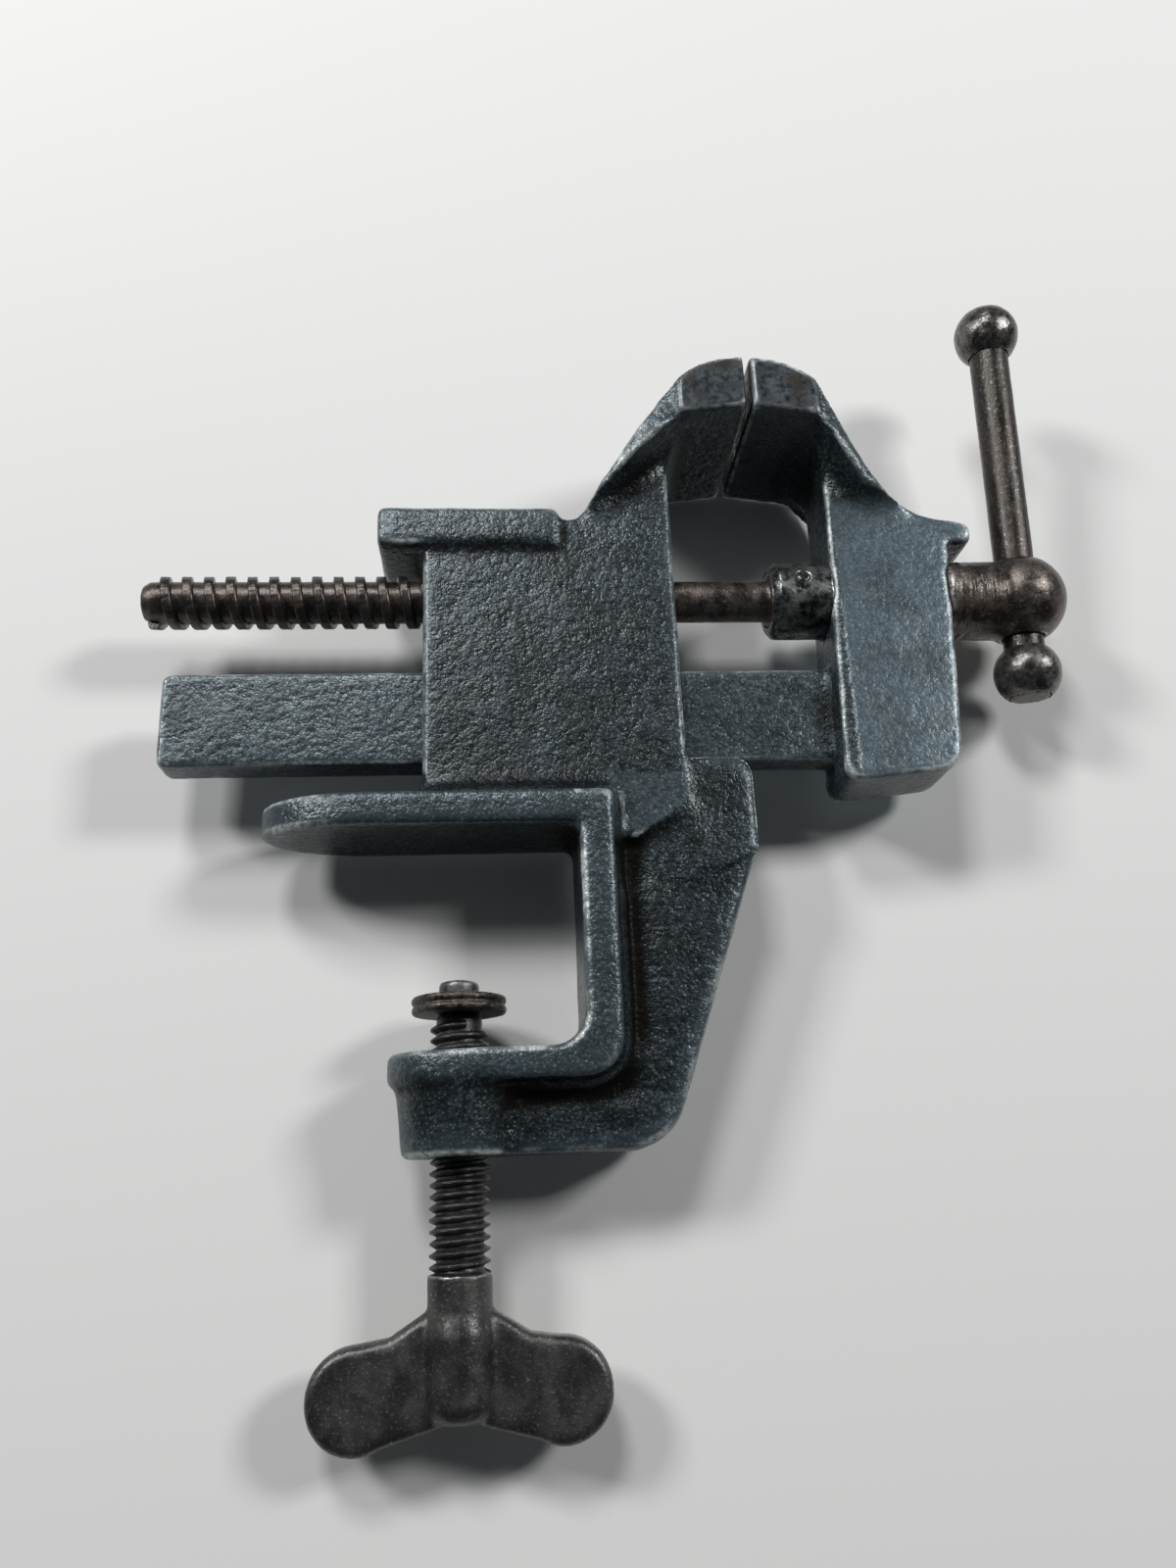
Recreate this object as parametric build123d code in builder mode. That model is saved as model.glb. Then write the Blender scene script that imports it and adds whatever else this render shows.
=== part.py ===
from build123d import *
import os
from math import cos, radians, sin, tan

# Clamp-on jewelers vise in its own frame. The bench face under the clamp plate is z = 0 and
# the clamp screw's axis is x = 0, y = 0. +Z is up to the jaws, +X is towards the handle.
# All lengths are millimetres.

# Running fits
running_clearance = 0.05
sliding_clearance = 0.08
cut_overrun = 1.0
near = 0.01

# The C-shaped clamp frame: plate, column and arm are one flange bent round the bench
frame_width = 17.8
plate_thickness = 4.9
plate_reach = 27.6
nose_length = 15.0
arm_reach = 9.6
column_reach = 16.6
column_thickness = 5.0
clamp_gap = 29.8
arm_thickness = 4.3
frame_inner_radius = 4.2
frame_outer_radius = 5.2
frame_corner_radius = 0.9
frame_edge_radius = 0.7

# The boss under the arm that the clamp screw threads through
boss_depth = 9.1
boss_top_radius = 8.8
boss_foot_radius = 7.6
boss_edge_radius = 0.8

# The rib behind the column and the guide block under the slide bar
rib_setback = 4.2
rib_reach = 42.2
rib_straight_drop = 3.0
rib_heel_reach = 27.6
rib_heel_radius = 8.0
rib_brow_radius = 2.8
rib_edge_radius = 1.2
rib_root_radius = 3.0
guide_edge_radius = 0.8
guide_rise = 1.0
guide_front_drop = 4.0
guide_back_drop = 9.6
guide_round = 1.5

# The body block that holds the slide bar and the main screw
body_setback = 2.9
body_length = 37.8
body_back_offset = 5.0
body_edge_radius = 0.7
body_foot_radius = 2.0
tongue_drop = 1.7
tongue_toe_reach = 25.0
tongue_round = 4.0

# The small anvil on the body's back
anvil_width = 13.6
anvil_length = 27.4
anvil_overhang = 6.8
anvil_height = 6.6
anvil_rise = 1.5
anvil_edge_radius = 1.0

# Both jaws
jaw_width = 26.2
jaw_depth = 10.5
jaw_top_height = 73.5
jaw_face_height = 8.9
jaw_crown_drop = 3.9
jaw_back_height = 6.4
crown_middle_share = 0.5
crown_sag_share = 0.18
throat_reach = 11.8
throat_round = 7.4
throat_straight = 12.2
rest_opening = 0.8

# The fixed jaw's sloping back
slope_foot_reach = 18.2
slope_foot_height = 49.2
slope_waist_reach = 6.8
slope_waist_setback = 1.1

# The sliding jaw's web and its lip over the neck
web_width = 11.8
web_length = 18.9
web_heel_height = 6.0
web_toe_height = 8.0
web_back_lean = 1.9
web_front_lean = 2.8
web_heel_radius = 2.4
web_toe_radius = 4.0
lip_reach = 3.8
lip_height = 3.2
lip_top_height = 48.4
lip_radius = 1.0
shoulder_reach = 7.9
shoulder_height = 52.4
shoulder_radius = 15.0
flare_round_share = 0.9
flare_toe_reach = 15.2
flare_toe_height = 50.2
flare_elbow_reach = 5.4
flare_elbow_lift = 0.7

# The slide bar, cast in one with the sliding jaw
bar_height = 14.6
bar_thickness = 6.2
bar_bed_height = 10.5
bar_tail = 37.4
bar_tail_radius = 1.4
bar_edge_radius = 0.7

# The main screw: square thread, smooth shank, journal, neck and ball head
screw_axis_height = 37.7
thread_diameter = 7.94
thread_root_diameter = 6.4
thread_pitch = 3.175
thread_land_share = 0.40
thread_foot_share = 0.56
thread_tail = 41.5
tip_length = 1.5
tip_diameter = 5.2
thread_inset = 1.6
journal_diameter = 8.0
neck_diameter = 12.4
neck_length = 7.7
neck_seat_depth = 1.1
neck_chamfer = 0.6
neck_ring_pitch = 1.5
neck_ring_depth = 0.25
neck_ring_count = 3
head_diameter = 14.4
head_offset = 12.4
head_lead_in = 0.4

# The collar that keeps the screw in the sliding jaw, and the pin through it
collar_diameter = 11.9
collar_length = 9.2
collar_chamfer = 0.9
pin_diameter = 2.0
pin_angle = 15

# The tommy bar and its two riveted balls
rod_diameter = 6.2
ball_diameter = 10.3
bar_long_side = 47.3
bar_short_side = 12.0
rivet_chamfer = 0.3
bar_tilt = 5.7

# The clamp screw with its wings, and the pad riveted on its tip
clamp_thread_diameter = 7.94
clamp_thread_pitch = 1.411
clamp_thread_depth = 0.85
clamp_land_share = 0.16
clamp_foot_share = 0.94
clamp_thread_length = 32.3
spigot_diameter = 4.4
button_diameter = 5.6
button_height = 2.1
button_radius = 0.7
pad_diameter = 12.9
pad_thickness = 2.4
pad_depth = 22.3
pad_edge_radius = 0.5
pad_groove = 0.3
clamp_shank_diameter = 8.3
clamp_shank_length = 4.4
hub_diameter = 9.2
hub_length = 12.6
hub_end_radius = 2.4
wing_span = 37.9
wing_lobe_diameter = 12.5
wing_lobe_drop = 9.4
wing_waist_drop = 2.6
wing_waist_reach = 8.8
wing_thickness = 4.0
wing_edge_radius = 1.3
wing_notch_drop = 12.3

# Thread ridges start a little inside their root, so that ridge and root join
ridge_seat = 0.15

# Stations worked out from the sizes above
rib_width = frame_width - 2 * rib_setback
guide_width = rib_width + 2 * guide_rise
body_width = frame_width - 2 * body_setback
anvil_top_height = slope_foot_height + anvil_rise
body_back = -body_back_offset
body_front = body_back + body_length
back_jaw_face = body_front + throat_reach
front_jaw_face = back_jaw_face + rest_opening
web_back = front_jaw_face + throat_reach
web_front = web_back + web_length
jaw_underside = jaw_top_height - jaw_face_height
jaw_crown = jaw_top_height - jaw_crown_drop
jaw_heel = jaw_crown - jaw_back_height
column_front = column_reach + column_thickness
arm_top = -clamp_gap
arm_bottom = arm_top - arm_thickness
boss_bottom = arm_bottom - boss_depth
bar_top = bar_bed_height + bar_height
bar_bed = bar_bed_height - sliding_clearance
anvil_back = body_back - anvil_overhang
thread_radius = thread_diameter / 2
screw_bore_radius = thread_radius + running_clearance
journal_radius = journal_diameter / 2
neck_seat = web_front - neck_seat_depth
neck_back = neck_seat + running_clearance
head_x = web_front + head_offset
collar_front = web_back - running_clearance
collar_back = collar_front - collar_length
thread_back = body_back - thread_tail
thread_front = body_front - thread_inset
pad_top = -pad_depth
pad_bottom = pad_top - pad_thickness
clamp_thread_top = pad_bottom - running_clearance
clamp_thread_bottom = clamp_thread_top - clamp_thread_length
clamp_bore_radius = clamp_thread_diameter / 2 + running_clearance
hub_top = clamp_thread_bottom - clamp_shank_length
screw_line = Axis((0, 0, screw_axis_height), (1, 0, 0))
screw_plane = Plane(origin=(0, 0, screw_axis_height), x_dir=(1, 0, 0), z_dir=(0, -1, 0))
bar_direction = Vector(0, -sin(radians(bar_tilt)), cos(radians(bar_tilt)))
head_centre = Vector(head_x, 0, screw_axis_height)


def outline_slab(corners, width, edge_radius=0):
    """A flat casting: an X-Z outline of (x, z, corner radius), centred on y = 0."""
    with BuildPart() as slab:
        with BuildSketch(Plane.XZ):
            with BuildLine():
                FilletPolyline([(x, z) for x, z, _ in corners], radius=[r for _, _, r in corners], close=True)
            make_face()
        extrude(amount=width / 2, both=True)
        if edge_radius:
            faces = slab.faces().sort_by(Axis.Y)
            fillet(faces[0].edges() + faces[-1].edges(), radius=edge_radius)
    return slab.part


def plan_slab(corners, bottom, height):
    """A flat block with an X-Y outline of (x, half width), mirrored across y = 0."""
    left = [(x, -half) for x, half in corners]
    right = [(x, half) for x, half in reversed(corners)]
    with BuildPart() as block:
        with BuildSketch(Plane.XY.offset(bottom)):
            with BuildLine():
                Polyline(left + right, close=True)
            make_face()
        extrude(amount=height)
    return block.part


def jaw_head(face, heading, outer, inner, plan_corners):
    """A jaw with the band that tapers down its slope.

    face is the jaw face's x and heading is -1 for the fixed jaw, 1 for the sliding jaw.
    outer and inner are the band's edges below the jaw, as (x, z, corner radius).
    plan_corners are (x, half width) from the band's foot to where it reaches the jaw.
    """
    back = face + heading * jaw_depth
    middle = face + heading * jaw_depth * crown_middle_share
    corners = plan_corners + [(back, jaw_width / 2), (face, jaw_width / 2)]
    plan = plan_slab(corners, 0, jaw_top_height + cut_overrun)
    with BuildPart() as head:
        with BuildSketch(Plane.XZ):
            with BuildLine():
                ThreePointArc(
                    (face, jaw_top_height),
                    (middle, jaw_top_height - jaw_crown_drop * crown_sag_share),
                    (back, jaw_crown),
                )
                band = [(back, jaw_crown, 0)] + outer + inner + [(back, jaw_heel, 0)]
                FilletPolyline([(x, z) for x, z, _ in band], radius=[r for _, _, r in band[1:-1]])
                Polyline((back, jaw_heel), (face, jaw_underside), (face, jaw_top_height))
            make_face()
        extrude(amount=jaw_width / 2, both=True)
        add(plan, mode=Mode.INTERSECT)
    return head.part


def thread_ridge(start, axis, length, pitch, root_radius, depth, foot_width, land_width):
    """One ridge wound right-handed round the axis, from start, a point on that axis."""
    with BuildPart() as ridge:
        with BuildLine() as path:
            Helix(pitch, length, root_radius, center=start, direction=axis)
        first = path.line @ 0
        out = (first - start).normalized()
        with BuildSketch(Plane(origin=first, x_dir=axis, z_dir=axis.cross(out))):
            with BuildLine():
                Polyline(
                    (-foot_width / 2, -ridge_seat),
                    (foot_width / 2, -ridge_seat),
                    (land_width / 2, depth),
                    (-land_width / 2, depth),
                    close=True,
                )
            make_face()
        sweep(path=path.line, is_frenet=True)
    return ridge.part


# The fixed casting: back jaw, anvil and clamp frame


def on_rib_side(edge):
    return abs(abs(edge.center().Y) - rib_width / 2) < near


def behind_column(edge):
    return edge.center().X < column_front + near and edge.center().Z > arm_bottom - near


def on_plate_top(edge):
    return abs(edge.center().Z - plate_thickness) < near


def under_body(edge):
    return edge.center().X > body_back - near and abs(edge.center().Y) < body_width / 2 + near


back_of_jaw = back_jaw_face - jaw_depth

back_head = jaw_head(
    back_jaw_face,
    -1,
    [(slope_foot_reach, slope_foot_height, 0)],
    [],
    [
        (slope_foot_reach, body_width / 2),
        (back_of_jaw - slope_waist_reach, jaw_width / 2 - slope_waist_setback),
    ],
)

body_slab = outline_slab(
    [
        (body_back, plate_thickness / 2, 0),
        (body_back, slope_foot_height, 0),
        (slope_foot_reach, slope_foot_height, 0),
        (back_of_jaw, jaw_crown, 0),
        (back_jaw_face - jaw_depth / 3, jaw_crown, 0),
        (back_jaw_face - jaw_depth / 3, jaw_underside, 0),
        (body_front, jaw_underside, throat_round),
        (body_front, plate_thickness / 2, tongue_round),
        (tongue_toe_reach, -tongue_drop, 0),
        (column_reach + column_thickness / 2, -tongue_drop, 0),
        (column_reach + column_thickness / 2, plate_thickness / 2, 0),
    ],
    body_width,
    body_edge_radius,
)

column_part = outline_slab(
    [
        (column_reach, plate_thickness, 0),
        (column_front, plate_thickness, frame_corner_radius),
        (column_front, arm_bottom, frame_outer_radius),
        (0, arm_bottom, 0),
        (0, arm_top, 0),
        (column_reach, arm_top, frame_inner_radius),
    ],
    frame_width,
)

with BuildPart() as clamp_frame:
    for reach, rounding, end, bottom, height in (
        (plate_reach, nose_length, column_reach, 0, plate_thickness),
        (arm_reach, arm_reach, column_reach / 2, arm_bottom, arm_thickness),
    ):
        with BuildSketch(Plane.XY.offset(bottom)):
            with BuildLine():
                centre = (rounding - reach, 0)
                EllipticalCenterArc(centre, rounding, frame_width / 2, start_angle=90, arc_size=180)
                Polyline(
                    (rounding - reach, -frame_width / 2),
                    (end, -frame_width / 2),
                    (end, frame_width / 2),
                    (rounding - reach, frame_width / 2),
                )
            make_face()
        extrude(amount=height)
    add(column_part)
    along = clamp_frame.edges().filter_by(Axis.Y, reverse=True)
    fillet(along.filter_by(lambda edge: edge.length > frame_width), radius=frame_edge_radius)
frame_part = clamp_frame.part

rib_slab = outline_slab(
    [
        (column_reach + column_thickness / 2, -rib_straight_drop, 0),
        (body_front - guide_round, bar_bed, 0),
        (rib_reach, bar_bed, rib_brow_radius),
        (rib_reach, -rib_straight_drop, 0),
        (rib_heel_reach, boss_bottom, rib_heel_radius),
        (0, boss_bottom, 0),
        (0, arm_bottom + arm_thickness / 2, 0),
        (column_reach + column_thickness / 2, arm_bottom + arm_thickness / 2, 0),
    ],
    rib_width,
)

with BuildPart() as ribbed_frame:
    add(frame_part)
    add(rib_slab)
    rims = ribbed_frame.edges().filter_by(on_rib_side).filter_by(lambda edge: edge.center().X > body_front)
    fillet(rims, radius=rib_edge_radius)
    roots = ribbed_frame.edges().filter_by(on_rib_side).filter_by(behind_column)
    fillet(roots, radius=rib_root_radius)
ribbed_part = ribbed_frame.part

with BuildPart() as body_and_foot:
    add(body_slab)
    add(frame_part)
    foot = body_and_foot.edges().filter_by(on_plate_top).filter_by(under_body)
    fillet(foot, radius=body_foot_radius)
body_part = body_and_foot.part

guide_part = outline_slab(
    [
        (body_front - guide_round, bar_bed, 0),
        (rib_reach, bar_bed, rib_brow_radius),
        (rib_reach, -guide_front_drop, guide_round),
        (body_front - guide_round, -guide_back_drop, 0),
    ],
    guide_width,
    guide_edge_radius,
)

with BuildPart() as anvil_block:
    with BuildSketch(Plane.XY.offset(anvil_top_height - anvil_height)):
        with Locations((anvil_back + anvil_length / 2, 0)):
            Rectangle(anvil_length, anvil_width)
    extrude(amount=anvil_height)
    fillet(anvil_block.edges(), radius=anvil_edge_radius)
anvil_part = anvil_block.part

with BuildPart() as boss:
    with BuildSketch(Plane.XY.offset(arm_bottom + arm_thickness / 2)):
        Circle(boss_top_radius)
    with BuildSketch(Plane.XY.offset(boss_bottom)):
        Circle(boss_foot_radius)
    loft()
    fillet(boss.edges().sort_by(Axis.Z)[0], radius=boss_edge_radius)
boss_part = boss.part

with BuildPart() as vise_body:
    add(body_part)
    add(ribbed_part)
    add(back_head)
    add(boss_part)
    add(guide_part)
    add(anvil_part)
    # the square way that the slide bar runs in
    with BuildSketch(Plane.XZ):
        with Locations(((body_back + rib_reach) / 2, bar_bed_height + bar_height / 2)):
            Rectangle(rib_reach - body_back + 2 * cut_overrun, bar_height + 2 * sliding_clearance)
    extrude(amount=bar_thickness / 2 + sliding_clearance, both=True, mode=Mode.SUBTRACT)
    # the hole for the main screw, from the anvil's back on
    with BuildSketch(Plane.YZ.offset(anvil_back - cut_overrun)):
        with Locations((0, screw_axis_height)):
            Circle(screw_bore_radius)
    extrude(amount=body_front - anvil_back + 2 * cut_overrun, mode=Mode.SUBTRACT)
    # the hole for the clamp screw
    with BuildSketch(Plane.XY.offset(boss_bottom - cut_overrun)):
        Circle(clamp_bore_radius)
    extrude(amount=arm_thickness + boss_depth + 2 * cut_overrun, mode=Mode.SUBTRACT)
vise_body.part.label = "vise_body"


# The sliding casting: front jaw, web, lip and slide bar

front_of_jaw = front_jaw_face + jaw_depth
shoulder_x = web_back + shoulder_reach
flare_toe_x = web_back + flare_toe_reach

# the shoulder's round ends before the flare's toe, however steep the slope above it
flare = Vector(flare_toe_x - shoulder_x, flare_toe_height - shoulder_height)
slope = Vector(shoulder_x - front_of_jaw, shoulder_height - jaw_crown)
half_turn = radians(slope.get_angle(flare) / 2)
shoulder_round = min(shoulder_radius, flare.length * flare_round_share / tan(half_turn))

front_head = jaw_head(
    front_jaw_face,
    1,
    [(shoulder_x, shoulder_height, shoulder_round), (flare_toe_x, flare_toe_height, 0)],
    [(web_back + flare_elbow_reach, shoulder_height + flare_elbow_lift, 0)],
    [(flare_toe_x, web_width / 2)],
)

web_slab = outline_slab(
    [
        (web_back - web_back_lean, web_heel_height, web_heel_radius),
        (web_back, jaw_underside - throat_straight, 0),
        (web_back, jaw_underside, throat_round),
        (front_jaw_face + jaw_depth / 3, jaw_underside, 0),
        (front_jaw_face + jaw_depth / 3, jaw_crown, 0),
        (front_of_jaw, jaw_crown, 0),
        (shoulder_x, shoulder_height, shoulder_round),
        (web_front + lip_reach, lip_top_height, lip_radius),
        (web_front + lip_reach, lip_top_height - lip_height, lip_radius),
        (web_front, lip_top_height - lip_height, lip_radius),
        (web_front - web_front_lean, web_toe_height, web_toe_radius),
    ],
    web_width,
    body_edge_radius,
)

with BuildPart() as bar_block:
    with BuildSketch(Plane.XZ):
        with BuildLine():
            FilletPolyline(
                (body_back - bar_tail, bar_bed_height),
                (web_back + bar_thickness, bar_bed_height),
                (web_back + bar_thickness, bar_top),
                (body_back - bar_tail, bar_top),
                radius=[bar_tail_radius, 0, 0, bar_tail_radius],
                close=True,
            )
        make_face()
    extrude(amount=bar_thickness / 2, both=True)
    faces = bar_block.faces().sort_by(Axis.Y)
    fillet(faces[0].edges() + faces[-1].edges(), radius=bar_edge_radius)
slide_bar = bar_block.part

with BuildPart() as sliding_jaw:
    add(web_slab)
    add(front_head)
    add(slide_bar)
    with BuildSketch(Plane.YZ.offset(web_back - web_back_lean - cut_overrun)):
        with Locations((0, screw_axis_height)):
            Circle(journal_radius + running_clearance)
    extrude(amount=web_back_lean + web_length + 2 * cut_overrun, mode=Mode.SUBTRACT)
    # spot faces for the collar and the neck to turn against, square to the screw
    for seat, diameter, depth in (
        (web_back, collar_diameter, -collar_length),
        (neck_seat, neck_diameter, neck_length),
    ):
        with BuildSketch(Plane.YZ.offset(seat)):
            with Locations((0, screw_axis_height)):
                Circle(diameter / 2 + sliding_clearance)
        extrude(amount=depth, mode=Mode.SUBTRACT)
sliding_jaw.part.label = "sliding_jaw"


# The main screw

head_radius = head_diameter / 2
neck_radius = neck_diameter / 2
neck_front = neck_back + neck_length
root_radius = thread_root_diameter / 2
tip_radius = tip_diameter / 2

bar_plane = Plane(origin=head_centre, x_dir=(1, 0, 0), z_dir=bar_direction)
pin_plane = Plane(
    origin=((collar_back + collar_front) / 2, 0, screw_axis_height),
    x_dir=(1, 0, 0),
    z_dir=(0, -cos(radians(pin_angle)), sin(radians(pin_angle))),
)

main_thread = thread_ridge(
    Vector(thread_back + tip_length, 0, screw_axis_height),
    Vector(1, 0, 0),
    thread_front - thread_back - tip_length,
    thread_pitch,
    root_radius,
    thread_radius - root_radius,
    thread_pitch * thread_foot_share,
    thread_pitch * thread_land_share,
)

with BuildPart() as main_screw:
    with BuildSketch(screw_plane):
        with BuildLine():
            Polyline(
                (thread_back, 0),
                (thread_back, tip_radius),
                (thread_back + tip_length, root_radius),
                (collar_back, root_radius),
                (collar_back, journal_radius),
                (neck_back, journal_radius),
                (neck_back, neck_radius - neck_chamfer),
                (neck_back + neck_chamfer, neck_radius),
                (neck_front, neck_radius),
                (head_x, neck_radius),
                (head_x, 0),
                close=True,
            )
        make_face()
    revolve(axis=screw_line)
    with Locations(head_centre):
        Sphere(head_radius)
    for ring in range(neck_ring_count):
        ring_x = neck_back + neck_chamfer + neck_ring_pitch * (ring + 1)
        with BuildSketch(screw_plane):
            with Locations((ring_x, neck_radius)):
                Circle(neck_ring_depth)
        revolve(axis=screw_line, mode=Mode.SUBTRACT)
    with BuildSketch(bar_plane):
        Circle(rod_diameter / 2 + running_clearance)
    extrude(amount=head_diameter, both=True, mode=Mode.SUBTRACT)
    with BuildSketch(pin_plane):
        Circle(pin_diameter / 2)
    extrude(amount=collar_diameter, both=True, mode=Mode.SUBTRACT)
    add(main_thread)
main_screw.part.label = "main_screw"

with BuildPart() as thrust_collar:
    with BuildSketch(Plane.YZ.offset(collar_back)):
        with Locations((0, screw_axis_height)):
            Circle(collar_diameter / 2)
            Circle(journal_radius, mode=Mode.SUBTRACT)
    extrude(amount=collar_length)
    back_edges = thrust_collar.edges().filter_by(GeomType.CIRCLE).group_by(Axis.X)[0]
    chamfer(back_edges.sort_by(SortBy.RADIUS)[-1], length=collar_chamfer)
    with BuildSketch(pin_plane):
        Circle(pin_diameter / 2)
    extrude(amount=collar_diameter, both=True, mode=Mode.SUBTRACT)
thrust_collar.part.label = "thrust_collar"

with BuildPart() as collar_pin:
    with BuildSketch(pin_plane):
        Circle(pin_diameter / 2)
    extrude(amount=collar_diameter, both=True)
    with BuildSketch(Plane.YZ.offset(collar_back)):
        with Locations((0, screw_axis_height)):
            Circle(collar_diameter / 2)
    extrude(amount=collar_length, mode=Mode.INTERSECT)
collar_pin.part.label = "collar_pin"


# The tommy bar slides through the ball head and is riveted over in both balls

rod_radius = rod_diameter / 2
ball_radius = ball_diameter / 2
ball_flat = (ball_radius**2 - rod_radius**2) ** 0.5
rod_start = -bar_short_side - ball_flat
rod_end = bar_long_side + ball_flat

with BuildPart() as tommy_bar:
    with BuildSketch(bar_plane.offset(rod_start)):
        Circle(rod_radius)
    extrude(amount=rod_end - rod_start)
    chamfer(tommy_bar.edges().filter_by(GeomType.CIRCLE), length=rivet_chamfer)
tommy_bar.part.label = "tommy_bar"


def rod_ball(distance):
    """A ball on the tommy bar, its centre at this distance along the bar from the ball head."""
    with BuildPart() as ball:
        with Locations(head_centre + bar_direction * distance):
            Sphere(ball_radius)
        with BuildSketch(bar_plane.offset(distance)):
            Circle(rod_radius)
        extrude(amount=ball_diameter, both=True, mode=Mode.SUBTRACT)
    return ball.part


upper_ball = rod_ball(bar_long_side)
lower_ball = rod_ball(-bar_short_side)

with BuildPart() as tommy_ball_upper:
    add(upper_ball)
tommy_ball_upper.part.label = "tommy_ball_upper"

with BuildPart() as tommy_ball_lower:
    add(lower_ball)
tommy_ball_lower.part.label = "tommy_ball_lower"


# The clamp screw, its wings and the swivel pad

clamp_radius = clamp_thread_diameter / 2
clamp_root = clamp_radius - clamp_thread_depth
button_bottom = pad_top + running_clearance
spigot_radius = spigot_diameter / 2
wing_edge = wing_span / 2
lobe_radius = wing_lobe_diameter / 2
lobe_x = wing_edge - lobe_radius
lobe_z = hub_top - wing_lobe_drop
hub_bottom = hub_top - hub_length

with BuildPart() as wing_pair:
    with BuildSketch(Plane.XZ):
        for side in (-1, 1):
            with Locations((side * lobe_x, lobe_z)):
                Circle(lobe_radius)
            with BuildLine():
                Polyline(
                    (0, hub_top),
                    (side * hub_diameter / 2, hub_top),
                    (side * wing_waist_reach, hub_top - wing_waist_drop),
                    (side * lobe_x, lobe_z + lobe_radius),
                    (side * lobe_x, lobe_z - lobe_radius),
                    (0, hub_top - wing_notch_drop),
                    close=True,
                )
            make_face()
    extrude(amount=wing_thickness / 2, both=True)
    faces = wing_pair.faces().sort_by(Axis.Y)
    fillet(faces[0].edges() + faces[-1].edges(), radius=wing_edge_radius)
wing_part = wing_pair.part

clamp_thread = thread_ridge(
    Vector(0, 0, clamp_thread_bottom),
    Vector(0, 0, 1),
    clamp_thread_length - clamp_thread_pitch,
    clamp_thread_pitch,
    clamp_root,
    clamp_thread_depth,
    clamp_thread_pitch * clamp_foot_share,
    clamp_thread_pitch * clamp_land_share,
)

with BuildPart() as clamp_screw:
    with BuildSketch(Plane.XZ):
        with BuildLine():
            Polyline(
                (0, pad_top + button_height),
                (button_diameter / 2, pad_top + button_height),
                (button_diameter / 2, button_bottom),
                (spigot_radius, button_bottom),
                (spigot_radius, clamp_thread_top),
                (clamp_root, clamp_thread_top),
                (clamp_root, clamp_thread_bottom),
                (clamp_shank_diameter / 2, clamp_thread_bottom),
                (clamp_shank_diameter / 2, hub_top),
                (hub_diameter / 2, hub_top - wing_waist_drop),
                (hub_diameter / 2, hub_bottom),
                (0, hub_bottom),
                close=True,
            )
        make_face()
    revolve(axis=Axis.Z)
    fillet(clamp_screw.edges().filter_by(GeomType.CIRCLE).sort_by(Axis.Z)[-1], radius=button_radius)
    fillet(clamp_screw.edges().filter_by(GeomType.CIRCLE).sort_by(Axis.Z)[0], radius=hub_end_radius)
    add(wing_part)
    add(clamp_thread)
clamp_screw.part.label = "clamp_screw"

with BuildPart() as clamp_pad:
    with BuildSketch(Plane.XY.offset(pad_bottom)):
        Circle(pad_diameter / 2)
        Circle(spigot_radius + running_clearance, mode=Mode.SUBTRACT)
    extrude(amount=pad_thickness)
    rims = clamp_pad.edges().filter_by(GeomType.CIRCLE).sort_by(SortBy.RADIUS)[-2:]
    fillet(rims, radius=pad_edge_radius)
    with BuildSketch(Plane.XZ):
        with Locations((pad_diameter / 2, pad_bottom + pad_thickness / 2)):
            Circle(pad_groove)
    revolve(axis=Axis.Z, mode=Mode.SUBTRACT)
clamp_pad.part.label = "clamp_pad"


os.makedirs("parts", exist_ok=True)
for piece in (
    vise_body,
    sliding_jaw,
    main_screw,
    thrust_collar,
    collar_pin,
    tommy_bar,
    tommy_ball_upper,
    tommy_ball_lower,
    clamp_screw,
    clamp_pad,
):
    export_step(piece.part, f"parts/{piece.part.label}.step")
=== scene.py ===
import bmesh
import bpy
import numpy as np
from mathutils import Matrix, Vector


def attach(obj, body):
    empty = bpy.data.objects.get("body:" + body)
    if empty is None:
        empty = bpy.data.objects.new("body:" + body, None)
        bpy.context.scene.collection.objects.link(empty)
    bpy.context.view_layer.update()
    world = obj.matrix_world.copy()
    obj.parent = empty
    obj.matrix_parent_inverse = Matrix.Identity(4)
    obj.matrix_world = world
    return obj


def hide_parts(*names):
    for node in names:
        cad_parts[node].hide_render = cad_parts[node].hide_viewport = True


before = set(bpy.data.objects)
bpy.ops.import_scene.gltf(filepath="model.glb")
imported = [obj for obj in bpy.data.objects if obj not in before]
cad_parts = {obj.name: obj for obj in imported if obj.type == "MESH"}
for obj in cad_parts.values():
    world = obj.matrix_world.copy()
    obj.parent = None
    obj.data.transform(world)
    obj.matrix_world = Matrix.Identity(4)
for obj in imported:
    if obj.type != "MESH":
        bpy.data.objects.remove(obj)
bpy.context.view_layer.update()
mm = 0.001
print("frame loaded")


# Camera at the photo's place: on the near side, as low as the clamp screw, looking a little up

camera = {
    "place": (5.135, -161.844, -47.568),
    "right": (0.99671, -0.07057, -0.03977),
    "down": (-0.01458, 0.32665, -0.94503),
    "lens": 27.045,
    "sensor": 36,
    "nearClip": 10,
}


def setCamera(view):
    lens = bpy.data.cameras.new("photoCamera")
    lens.sensor_width = view["sensor"]
    lens.lens = view["lens"]
    lens.clip_start = view["nearClip"] * mm
    holder = bpy.data.objects.new("photoCamera", lens)
    bpy.context.scene.collection.objects.link(holder)
    right = Vector(view["right"]).normalized()
    up = -Vector(view["down"]).normalized()
    turn = Matrix((right, up, right.cross(up))).transposed()
    holder.matrix_world = Matrix.Translation(Vector(view["place"]) * mm) @ turn.to_4x4()
    bpy.context.scene.camera = holder


setCamera(camera)
print("camera set")


# Node helpers


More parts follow.
